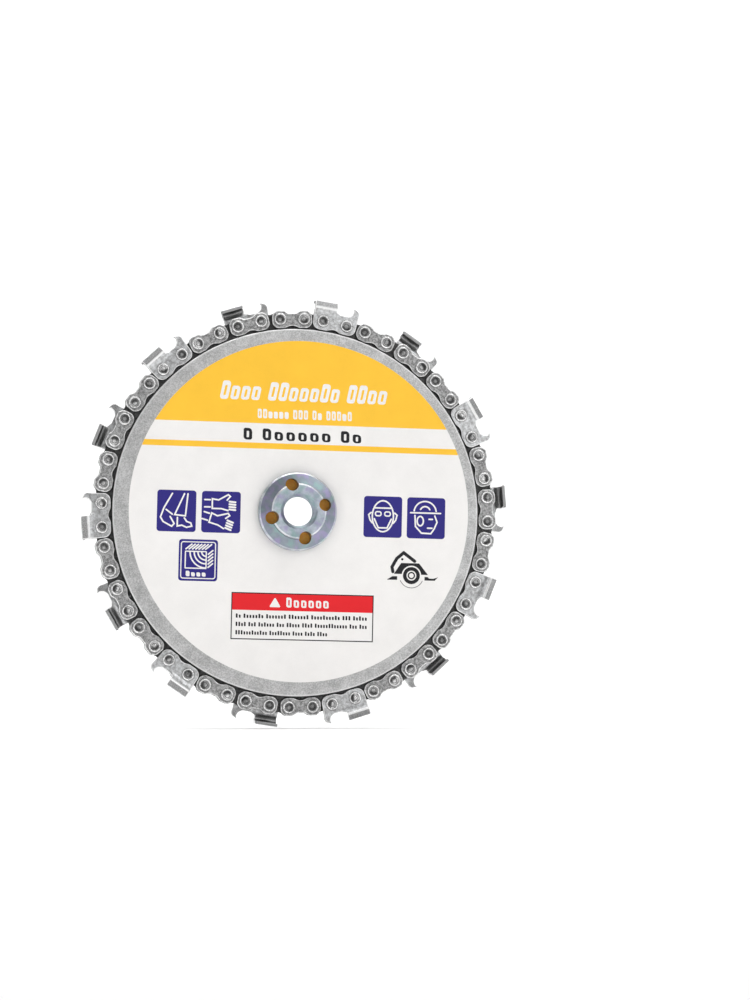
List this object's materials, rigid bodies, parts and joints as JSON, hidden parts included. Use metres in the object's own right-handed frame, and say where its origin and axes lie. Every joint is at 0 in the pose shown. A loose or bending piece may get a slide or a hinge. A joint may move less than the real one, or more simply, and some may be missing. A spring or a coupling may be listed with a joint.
{
  "type": "angle grinder carving disc",
  "caption": "Wood carving disc for an angle grinder: low-kickback saw chain wrapped round a grooved steel disc, with a printed label, a fibre washer and a pin-spanner lock nut.",
  "frame": {"origin": "the middle of the bore in the plane of the back plate's outer face, where the grinder's inner flange meets the disc", "axes": "-Y along the disc's axis, out of the label side; +Z towards the top of the label; +X towards the label's right"},
  "size_m": [0.125, 0.0107, 0.1246],
  "materials": {
    "cutter_chrome": "bright hard-chrome plate with a ground chamfer and fine scratches",
    "chain_steel": "tumbled, lightly oiled grey steel; peened rivet heads brighter",
    "disc_steel": "fine speckled zinc-grey steel with a bright rim chamfer",
    "label_print": null,
    "nut_zinc": "turned steel with bluish zinc plating",
    "washer_fibre": "orange-brown vulcanised fibre",
    "screw_black": "black oxide"
  },
  "bodies": {
    "disc": {"front_plate": "disc_steel", "core_plate": "disc_steel", "back_plate": "disc_steel", "label": "label_print", "plate_screw_1": "screw_black", "plate_screw_2": "screw_black", "plate_screw_3": "screw_black", "plate_screw_4": "screw_black", "plate_screw_5": "screw_black", "plate_screw_6": "screw_black"},
    "chain": {"right_cutter_1": "cutter_chrome", "right_cutter_2": "cutter_chrome", "right_cutter_3": "cutter_chrome", "right_cutter_4": "cutter_chrome", "right_cutter_5": "cutter_chrome", "right_cutter_6": "cutter_chrome", "right_cutter_7": "cutter_chrome", "right_preset_strap_1": "chain_steel", "right_preset_strap_2": "chain_steel", "right_preset_strap_3": "chain_steel", "right_preset_strap_4": "chain_steel", "right_preset_strap_5": "chain_steel", "right_preset_strap_6": "chain_steel", "right_preset_strap_7": "chain_steel", "left_cutter_1": "cutter_chrome", "left_cutter_2": "cutter_chrome", "left_cutter_3": "cutter_chrome", "left_cutter_4": "cutter_chrome", "left_cutter_5": "cutter_chrome", "left_cutter_6": "cutter_chrome", "left_cutter_7": "cutter_chrome", "left_preset_strap_1": "chain_steel", "left_preset_strap_2": "chain_steel", "left_preset_strap_3": "chain_steel", "left_preset_strap_4": "chain_steel", "left_preset_strap_5": "chain_steel", "left_preset_strap_6": "chain_steel", "left_preset_strap_7": "chain_steel", "link_pair_1": "chain_steel", "link_pair_2": "chain_steel", "link_pair_3": "chain_steel", "link_pair_4": "chain_steel", "link_pair_5": "chain_steel", "link_pair_6": "chain_steel", "link_pair_7": "chain_steel", "link_pair_8": "chain_steel", "link_pair_9": "chain_steel", "link_pair_10": "chain_steel", "link_pair_11": "chain_steel", "link_pair_12": "chain_steel", "link_pair_13": "chain_steel", "link_pair_14": "chain_steel"},
    "washer": {"nut_washer": "washer_fibre"},
    "nut": {"lock_nut": "nut_zinc"}
  },
  "joints": [
    {"name": "chain_creep", "type": "hinge", "parent": "disc", "child": "chain", "pos_m": [0, -0.00255, 0], "axis": [0, -1, 0], "continuous": true},
    {"name": "nut_lift", "type": "slide", "parent": "disc", "child": "washer", "axis": [0, -1, 0], "range_m": [0, 0.006]},
    {"name": "nut_turn", "type": "hinge", "parent": "washer", "child": "nut", "pos_m": [0, -0.0053, 0], "axis": [0, -1, 0], "range_deg": [0, 1440]}
  ],
  "couplings": [
    {"joint": "nut_lift", "follows": "nut_turn", "m_per_rad": 0.0002387}
  ]
}
